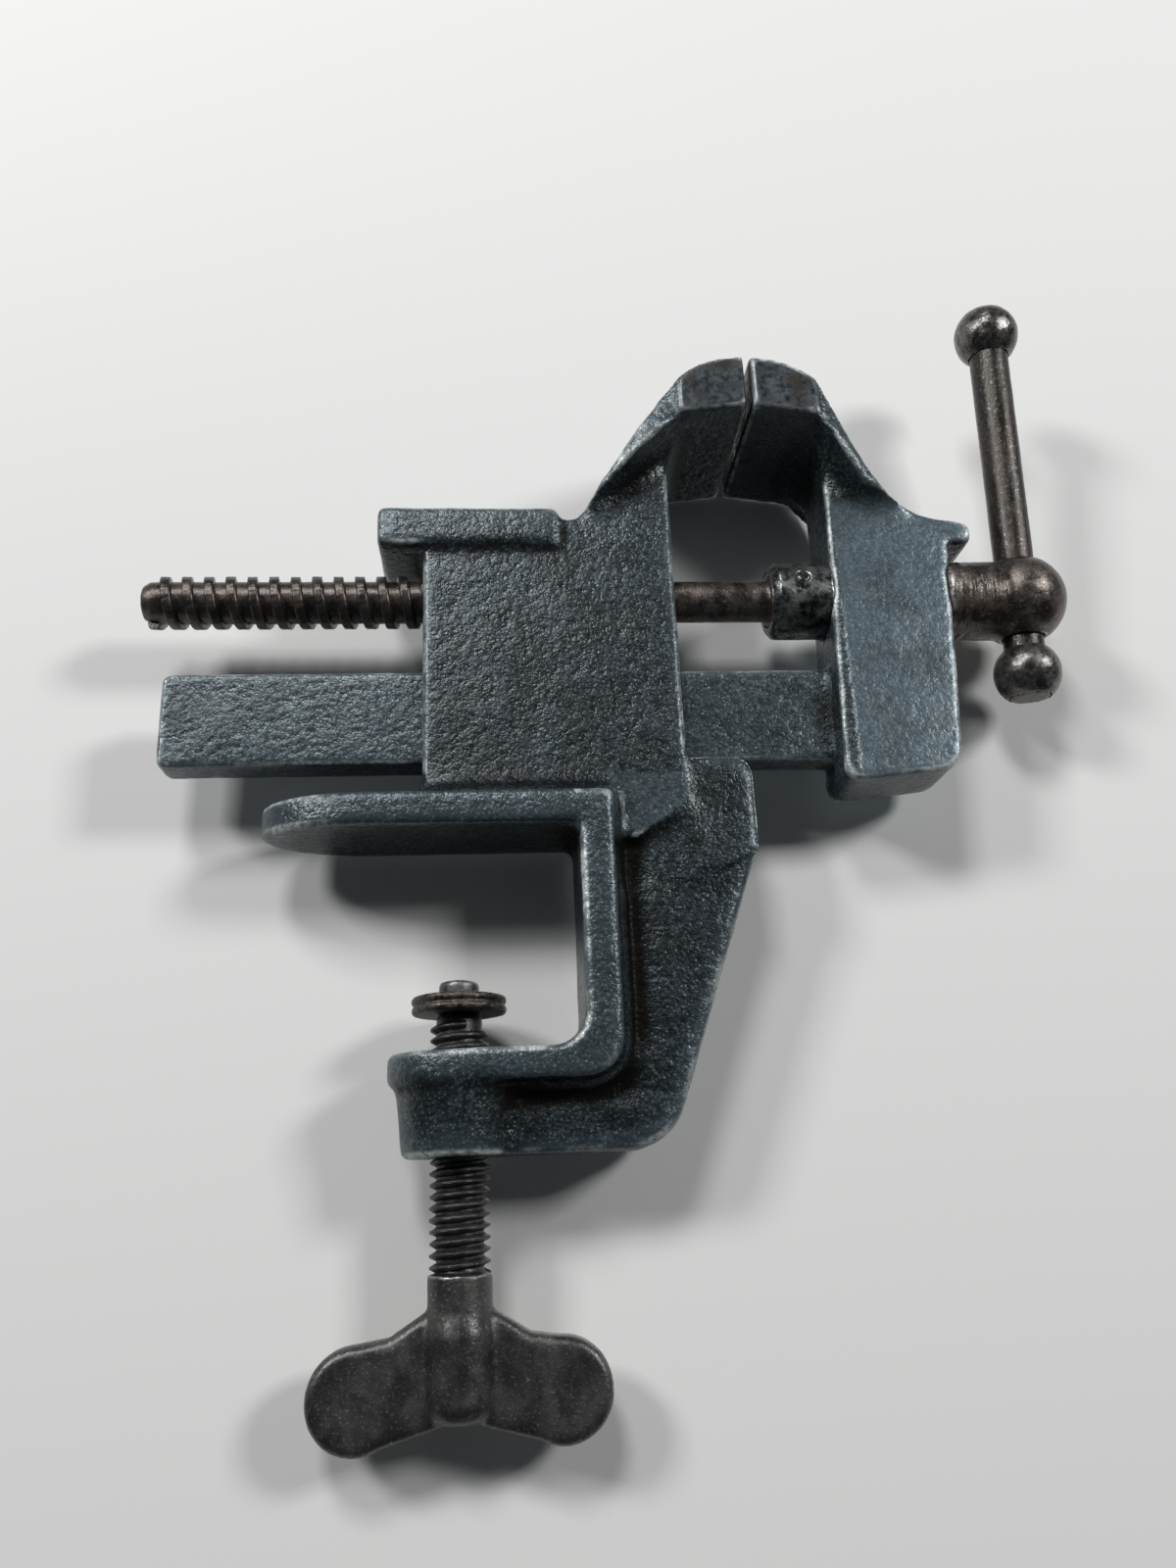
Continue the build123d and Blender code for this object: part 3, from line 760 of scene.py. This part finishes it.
backCove = {
    "edge": ((18.2, 49.2), (34.1, 63.2), (44.6, 64.6)),
    "halves": ((18.2, 6.0), (27.3, 12.0), (34.1, 13.1), (44.6, 13.1)),
    "drops": ((18.2, 0.8), (24.0, 2.8), (34.1, 4.8), (44.6, 5.0)),
    "span": (18.8, 36.4),
    "throatX": 40.2,
}
frontCove = {
    "edge": ((45.4, 64.6), (55.9, 63.2), (62.8, 53.1), (72.6, 50.2)),
    "halves": ((45.4, 13.1), (55.9, 13.1), (72.6, 5.9)),
    "drops": ((45.4, 6.0), (55.9, 6.8), (59.5, 5.2), (62.8, 3.6), (68.0, 2.6), (72.6, 1.8)),
    "span": (53.6, 72.2),
    "throatX": 49.8,
}
coveShape = {
    "throatZ": 57.2,
    "throatRadius": 7.4,
    "side": 5.7,
    "inside": 3.0,
    "inset": 0.1,
    "lift": 0.25,
    "liftFrom": 1.0,
    "liftOver": 2.0,
    "columns": 48,
    "rows": 14,
}


def along(table, x):
    return np.interp(x, *zip(*table))


def covePoints(cove, shape):
    x = np.linspace(*cove["span"], shape["columns"])[:, None]
    top = along(cove["edge"], x)
    drop = along(cove["drops"], x)
    across = np.clip(shape["throatRadius"] ** 2 - (x - cove["throatX"]) ** 2, 0, None)
    throat = np.where(across > 0, shape["throatZ"] + np.sqrt(across) + shape["inset"], 0)
    low = np.maximum(top - drop, throat)
    share = np.linspace(0, 1, shape["rows"])[None, :] ** 2
    z = top + (low - top) * share
    down = np.clip((top - z) / drop, 0, 1)
    hollow = 1 - np.sqrt(1 - (1 - down) ** 2)
    half = shape["side"] + (along(cove["halves"], x) - shape["inset"] - shape["side"]) * hollow
    z = z + shape["lift"] * (1 - share) * np.clip((drop - shape["liftFrom"]) / shape["liftOver"], 0, 1)
    return x + 0 * z, half, z


def gridRim(columns, rows):
    rim = list(range(rows)) + [i * rows + rows - 1 for i in range(1, columns)]
    rim += [(columns - 1) * rows + j for j in range(rows - 2, -1, -1)]
    rim += [i * rows for i in range(columns - 2, 0, -1)]
    return list(zip(rim, rim[1:] + rim[:1]))


def makeCove(name, cove, shape):
    x, half, z = covePoints(cove, shape)
    columns, rows = z.shape
    solid = bmesh.new()
    for side in (-1, 1):
        sheets = []
        for y in (side * half, side * shape["inside"] + 0 * half):
            grid = np.stack([x, y, z], axis=-1).reshape(-1, 3)
            sheets.append([solid.verts.new(Vector(place) * mm) for place in grid])
        outer, inner = sheets
        for first in (i * rows + j for i in range(columns - 1) for j in range(rows - 1)):
            quad = (first, first + rows, first + rows + 1, first + 1)
            solid.faces.new([outer[k] for k in quad])
            solid.faces.new([inner[k] for k in reversed(quad)])
        for first, second in gridRim(columns, rows):
            solid.faces.new([outer[second], outer[first], inner[first], inner[second]])
    bmesh.ops.recalc_face_normals(solid, faces=solid.faces)
    mesh = bpy.data.meshes.new(name)
    solid.to_mesh(mesh)
    solid.free()
    return mesh


# Places on both castings: boxes by low corner, high corner and softness, and lines with their reach

jaws = {
    "backX": 34.1,
    "frontX": 55.9,
    "soft": (-0.3, 0.3),
    "low": (62.0, 62.8),
    "end": (12.3, 12.8),
    "crown": (68.6, 69.6),
    "gapX": 45.0,
    "gapHalf": (0.55, 0.8),
    "gapFrom": (64.8, 65.2),
    "slopeFrom": (-0.15, 0.25),
    "slopeTo": (1, 6),
    "slopeLow": (61.1, 63.1),
    "slopeSide": (8.0, 9.5),
    "slopeSink": 0.4,
}
jawFaces = ((42, -14, 62), (47, 14, 74), 0.4)
screwLine = (0, 0, screwHeight)
clampLine = (0, 0, 0)
wayReach = (4.6, 5.4)


def pastJaws(x):
    return np.maximum(jaws["backX"] - x, x - jaws["frontX"])


def groundJaws(points):
    x, y, z = points.T
    inJaw = step(z, *jaws["low"]) * (1 - step(pastJaws(x), *jaws["soft"]))
    return inJaw * np.maximum(step(np.abs(y), *jaws["end"]), step(z, *jaws["crown"]))


def jawGap(points):
    x, y, z = points.T
    return (1 - step(np.abs(x - jaws["gapX"]), *jaws["gapHalf"])) * step(z, *jaws["gapFrom"])


def besideJaw(points):
    x, y, z = points.T
    slope = step(pastJaws(x), *jaws["slopeFrom"]) * (1 - step(pastJaws(x), *jaws["slopeTo"]))
    return slope * step(z, *jaws["slopeLow"]) * step(np.abs(y), *jaws["slopeSide"])


# The fixed casting

bodyPlaces = {
    "barWay": ((-20, -3.6, 9.9), (60, 3.6, 25.7), 0.3),
    "anvilLine": ((-14, -9, 40), (17.5, 9, 52), 0.8),
    "tongue": ((21.8, -9, -9), (46, 9, 13), 0.8),
    "frontToe": ((64.0, -14, 45.0), (76.0, 14, 53.0), 1.5),
    "backToe": ((18.4, -14, 45.0), (23.0, 14, 52.5), 1.5),
    "guideCorner": ((29.5, -14, -13.0), (36.5, 14, 4.0), 0.8),
    "guideFace": ((33.2, -9, -3), (47, 9, 10.4), 0.5),
    "guideSlope": ((30, -9, -14), (47, 9, -2), 1.0),
    "handledTongue": ((21.0, -9, -2.2), (32.8, 9, 8), 0.6),
    "plateTop": ((-16, -14, -1.5), (16.0, 14, 8.0), 0.5),
    "columnFront": ((20.6, -14, -33.0), (24.0, 14, 2.0), 0.4),
    "armLower": ((-8, -14, -35.6), (22.0, 14, -33.0), 0.4),
    "guideFoot": ((27.0, -14, -13.0), (46.0, 14, -1.0), 0.8),
    "guideSide": ((29.0, -14, -13.0), (36.0, 14, 8.0), 0.8),
}
cleanShares = {
    "plateTop": 0.75,
    "columnFront": 0.85,
    "armLower": 0.9,
    "guideFoot": 0.9,
    "guideSide": 0.9,
}
# Painted shadow lines: where shade falls under the arm and under and beside the anvil
paintedShadowLines = [
    ((-8.0, -34.5), (7.0, -34.4), 1.7, 0.55),  # under the arm
    ((-5.0, 43.7), (15.4, 43.7), 1.1, 0.9),  # under the anvil
    ((16.1, 44.0), (16.1, 50.0), 0.9, 0.8),  # beside the anvil
]
valleys = [
    ((21.6, 2.0), (21.6, -27.0), 6.5, 1.1),
    ((21.0, -34.0), (9.0, -34.2), 4.5, 0.8),
    ((9.0, -34.2), (-1.0, -34.6), 2.6, 0.4),
]
bodySides = {
    "toeFrom": 4.5,
    "rib": (5.2, 5.6),
    "guide": (5.72, 5.92),
    "guideFrom": (4.8, 5.3),
    "guideSink": 0.45,
    "tongue": (5.7, 5.9),
    "crownFrom": (46, 47),
    "crownWear": 0.25,
    "wear": 0.6,
    "tongueSharp": 0.9,
    "clampTop": -29,
}


def atBody(points, place):
    return inBox(points, *bodyPlaces[place])


def screwWays(points):
    screwWay = nearLine(points, screwLine, 0, *wayReach)
    clampWay = nearLine(points, clampLine, 2, *wayReach) * (points[:, 2] < bodySides["clampTop"])
    return np.maximum.reduce([screwWay, clampWay, atBody(points, "barWay")])


def castCorners(points):
    aside = np.abs(points[:, 1]) > bodySides["toeFrom"]
    corners = [atBody(points, place) for place in ("frontToe", "guideCorner", "backToe")]
    return np.maximum.reduce(corners) * aside


def bodyFillets(points):
    free = (1 - screwWays(points)) * (1 - atBody(points, "anvilLine")) * (1 - inBox(points, *jawFaces))
    return free * (1 - bodySides["tongueSharp"] * atBody(points, "tongue"))


def bodyHollows(points, normals):
    half = np.abs(points[:, 1])
    ribSide = 1 - step(half, *bodySides["rib"])
    guide = np.maximum(atBody(points, "guideFace"), atBody(points, "guideSlope"))
    guide = guide * (1 - step(half, *bodySides["guide"])) * step(half, *bodySides["guideFrom"])
    points = sinkSides(points, normals, guide, bodySides["guideSink"])
    for start, end, reach, depth in valleys:
        points = sinkSides(points, normals, nearSegment(points, start, end, reach) * ribSide, depth)
    return sinkSides(points, normals, besideJaw(points), jaws["slopeSink"])


def bodyWorn(points):
    tongue = atBody(points, "handledTongue") * step(np.abs(points[:, 1]), *bodySides["tongue"])
    crown = bodySides["crownWear"] * step(points[:, 2], *bodySides["crownFrom"])
    return np.maximum(tongue, crown) * bodySides["wear"]


def bodyUnworn(points):
    clean = [share * atBody(points, place) for place, share in cleanShares.items()]
    return np.maximum.reduce([jawGap(points), *clean])


# Painted shade in the gap between the jaws and along the shadow lines
def bodyShadeLines(points):
    oilAndShade = [share * nearSegment(points, start, end, reach) for start, end, reach, share in paintedShadowLines]
    return np.maximum.reduce([jawGap(points), *oilAndShade])


def bodySmooth(points):
    return np.maximum(groundJaws(points), screwWays(points))


bodyCasting = {
    **plainPiece,
    "node": "vise_body",
    "name": "bodyCasting",
    "body": "frame",
    "slot": "casting",
    "voxel": 0.50,
    "rounding": 3,
    "filletRounds": 36,
    "fillets": bodyFillets,
    "smooth": bodySmooth,
    "ground": groundJaws,
    "worn": bodyWorn,
    "hollow": bodyHollows,
    "unworn": bodyUnworn,
    "oilAndShade": bodyShadeLines,
    "dent": ((-5.2, -8.0, -39.8), 0.7, 0.6),
    "softRounds": 24,
    "soften": castCorners,
    "Grain Size": 0.9,
    "Grain Depth": 0.13,
    "Wave Size": 8.0,
    "Wave Depth": 0.35,
    "edgeReach": 4,
    "edgeHeight": 0.085,
    "formReach": 90,
    "formHeight": 0.9,
}
backCoveMesh = makeCove("backCove", backCove, coveShape)
dress(bodyCasting, ironMaterial, [backCoveMesh])


# The sliding casting

jawPlaces = {
    "neckSeatReach": (6.9, 7.6),
    "neckSeatFrom": (54, 55),
    "smoothReach": (6.4, 7.0),
    "lip": ((75, -9, 43), (82, 9, 50), 0.5),
    "filletsFrom": (52, 54),
    "barEnd": (55.0, 56.8),
    "barTop": 27,
    "barPlay": 0.08,
    "webFrom": (57.4, 58.4),
    "webSide": (5.2, 5.6),
    "webTop": (51.0, 54.0),
    "handledBarEnd": (55.5, 56.5),
    "barWear": 0.35,
}


def jawFillets(points):
    neckSeat = nearLine(points, screwLine, 0, *jawPlaces["neckSeatReach"])
    neckSeat = neckSeat * step(points[:, 0], *jawPlaces["neckSeatFrom"])
    sharp = (1 - neckSeat) * (1 - inBox(points, *jawFaces)) * (1 - inBox(points, *jawPlaces["lip"]))
    return sharp * step(points[:, 0], *jawPlaces["filletsFrom"])


def jawSmooth(points):
    return np.maximum(groundJaws(points), nearLine(points, screwLine, 0, *jawPlaces["smoothReach"]))


def jawHollows(points, normals):
    onBar = (1 - step(points[:, 0], *jawPlaces["barEnd"])) * (points[:, 2] < jawPlaces["barTop"])
    points = points - normals * (jawPlaces["barPlay"] * onBar)[:, None]  # so that its grain clears the way
    return sinkSides(points, normals, besideJaw(points), jaws["slopeSink"])


def jawWorn(points):
    x, y, z = points.T
    web = step(x, *jawPlaces["webFrom"]) * step(np.abs(y), *jawPlaces["webSide"])
    bar = jawPlaces["barWear"] * (1 - step(x, *jawPlaces["handledBarEnd"]))
    return np.maximum(web * (1 - step(z, *jawPlaces["webTop"])), bar)


jawCasting = {
    **bodyCasting,
    "node": "sliding_jaw",
    "name": "jawCasting",
    "body": "jaw",
    "voxel": 0.44,
    "filletRounds": 40,
    "fillets": jawFillets,
    "smooth": jawSmooth,
    "worn": jawWorn,
    "hollow": jawHollows,
    "unworn": jawGap,
    # painted shade in the gap between the jaws
    "oilAndShade": jawGap,
    "dent": None,
    "Grain Depth": 0.09,
    "Wave Depth": 0.22,
    "edgeReach": 5,
}
frontCoveMesh = makeCove("frontCove", frontCove, coveShape)
dress(jawCasting, ironMaterial, [frontCoveMesh])
print("castings made")


# The main screw with its collar and pin

turning = {
    "neck": (74.5, 76),
    "ball": (83, 85.5),
    "shank": (31, 32),
    "shankEnd": (83, 85),
    "shankShare": 0.35,
}


def turnedNeck(points):
    x = points[:, 0]
    neck = step(x, *turning["neck"]) * (1 - step(x, *turning["ball"]))
    shank = step(x, *turning["shank"]) * (1 - step(x, *turning["shankEnd"]))
    return np.maximum(neck, turning["shankShare"] * shank)


screwPiece = {
    **plainPiece,
    "node": "main_screw",
    "thread": mainThread,
    "name": "mainScrew",
    "body": "spindle",
    "slot": "spindle",
    "voxel": 0.29,
    "rounding": 4,
    "turned": turnedNeck,
    "unworn": threadCrest,
    "oilAndShade": threadCrest,
    "Grain Size": 0.9,
    "Grain Depth": 0.08,
    "Wave Size": 5.0,
    "Wave Depth": 0.10,
    "edgeReach": 10,
    "edgeHeight": 0.10,
}
dress(screwPiece, mainScrewMaterial)

collarPiece = {
    **screwPiece,
    "node": "thrust_collar",
    "thread": None,
    "name": "thrustCollar",
    "slot": "collar",
    "unworn": noMask,
    "oilAndShade": noMask,
    "voxel": 0.2,
    "Wave Size": 3.0,
    "Wave Depth": 0.2,
}
dress(collarPiece, collarMaterial)

pinPiece = {
    **collarPiece,
    "node": "collar_pin",
    "name": "collarPin",
    "voxel": 0.12,
    "Wave Depth": 0.05,
}
dress(pinPiece, collarMaterial)


# The tommy bar and its balls

rodPiece = {
    **screwPiece,
    "node": "tommy_bar",
    "thread": None,
    "name": "tommyBar",
    "body": "handle",
    "slot": "rod",
    "voxel": 0.22,
    "unworn": noMask,
    "oilAndShade": noMask,
    "Wave Size": 6.0,
    "Wave Depth": 0.14,
}
dress(rodPiece, rodMaterial)

ballPiece = {
    **rodPiece,
    "voxel": 0.18,
    "Wave Size": 2.5,
    "Wave Depth": 0.2,
}
for node, name in (("tommy_ball_upper", "upperBall"), ("tommy_ball_lower", "lowerBall")):
    dress({**ballPiece, "node": node, "name": name}, ballMaterial)


# The clamp screw with its wings, and its pad

wingTop = (-61.5, -60)


def wingFillets(points):
    return 1 - step(points[:, 2], *wingTop)


clampPiece = {
    **screwPiece,
    "node": "clamp_screw",
    "thread": clampThread,
    "name": "clampScrew",
    "body": "clamp",
    "slot": "clamp",
    "voxel": 0.24,
    "filletRounds": 34,
    "fillets": wingFillets,
    "Grain Depth": 0.09,
    "Wave Size": 6.0,
    "Wave Depth": 0.22,
    "edgeHeight": 0.09,
}
dress(clampPiece, clampMaterial)

padPiece = {
    **screwPiece,
    "node": "clamp_pad",
    "thread": None,
    "name": "clampPad",
    "body": "pad",
    "slot": "pad",
    "voxel": 0.16,
    "Grain Depth": 0.14,
    "Wave Size": 4.0,
    "Wave Depth": 0.15,
}
dress(padPiece, padMaterial)
print("screws, rod and pad made")


# Pale floor close behind the vise, which lies on it on its far side; seen from behind it is clear

floorSheet = {
    "atArm": (8.95, -34.0),
    "atJaws": (13.2, 70.0),
    "half": 1500.0,
    "color": (0.69, 0.69, 0.68, 1),
}


def makeFloor(s):
    (armY, armZ), (jawY, jawZ) = s["atArm"], s["atJaws"]
    lean = (jawY - armY) / (jawZ - armZ)
    corners = []
    for x, z in ((-1, -1), (1, -1), (1, 1), (-1, 1)):
        height = z * s["half"]
        corners.append(Vector((x * s["half"], armY + (height - armZ) * lean, height)) * mm)
    mesh = bpy.data.meshes.new("paleFloor")
    mesh.from_pydata(corners, [], [(0, 1, 2, 3)])
    floor = bpy.data.objects.new("paleFloor", mesh)
    bpy.context.scene.collection.objects.link(floor)
    material = bpy.data.materials.new("paleFloor")
    material.use_nodes = True
    tree = material.node_tree
    tree.nodes.clear()
    paint = addNode(tree, "ShaderNodeBsdfDiffuse", {"Color": s["color"]})
    clear = addNode(tree, "ShaderNodeBsdfTransparent")
    behind = addNode(tree, "ShaderNodeNewGeometry").outputs["Backfacing"]
    shadow = addNode(tree, "ShaderNodeLightPath").outputs["Is Shadow Ray"]
    see = calc(tree, "MAXIMUM", behind, shadow)
    both = addNode(tree, "ShaderNodeMixShader", {0: see, 1: paint.outputs[0], 2: clear.outputs[0]})
    output = addNode(tree, "ShaderNodeOutputMaterial")
    tree.links.new(both.outputs[0], output.inputs[0])
    mesh.materials.append(material)


makeFloor(floorSheet)


# Soft lamps from both sides and from the front, and weaker ones for the far side

lamps = {
    "keyLamp": {"place": (-480, -465, 350), "size": 150, "power": 2.9},
    "sideLamp": {"place": (540, -500, 260), "size": 150, "power": 2.9},
    "topLamp": {"place": (-140, -560, 500), "size": 160, "power": 2.5},
    "farLamp": {"place": (200, 560, 380), "size": 400, "power": 2.6},
    "farSideLamp": {"place": (420, 420, 60), "size": 400, "power": 1.0},
}
lampAim = (20, 0, 10)


def addLamp(name, s):
    lamp = bpy.data.lights.new(name, "AREA")
    lamp.size = s["size"] * mm
    lamp.energy = s["power"]
    holder = bpy.data.objects.new(name, lamp)
    bpy.context.scene.collection.objects.link(holder)
    holder.location = Vector(s["place"]) * mm
    aim = Vector(lampAim) * mm - holder.location
    holder.rotation_euler = aim.to_track_quat("-Z", "Y").to_euler()


for lampName, lampSettings in lamps.items():
    addLamp(lampName, lampSettings)


# The room's even light, with a paler backdrop where the camera sees it

room = {"light": 0.055, "backdrop": 0.8, "color": (0.86, 0.93, 1.0, 1)}


def makeWorld(s):
    world = bpy.data.worlds.new("studio")
    world.use_nodes = True
    tree = world.node_tree
    background = tree.nodes["Background"]
    background.inputs["Color"].default_value = s["color"]
    seen = addNode(tree, "ShaderNodeLightPath").outputs["Is Camera Ray"]
    levels = {"Value": seen, "To Min": s["light"], "To Max": s["backdrop"]}
    strength = addNode(tree, "ShaderNodeMapRange", levels).outputs[0]
    tree.links.new(strength, background.inputs["Strength"])
    bpy.context.scene.world = world


makeWorld(room)
bpy.context.scene.view_settings.view_transform = "Standard"
print("floor and lamps set")
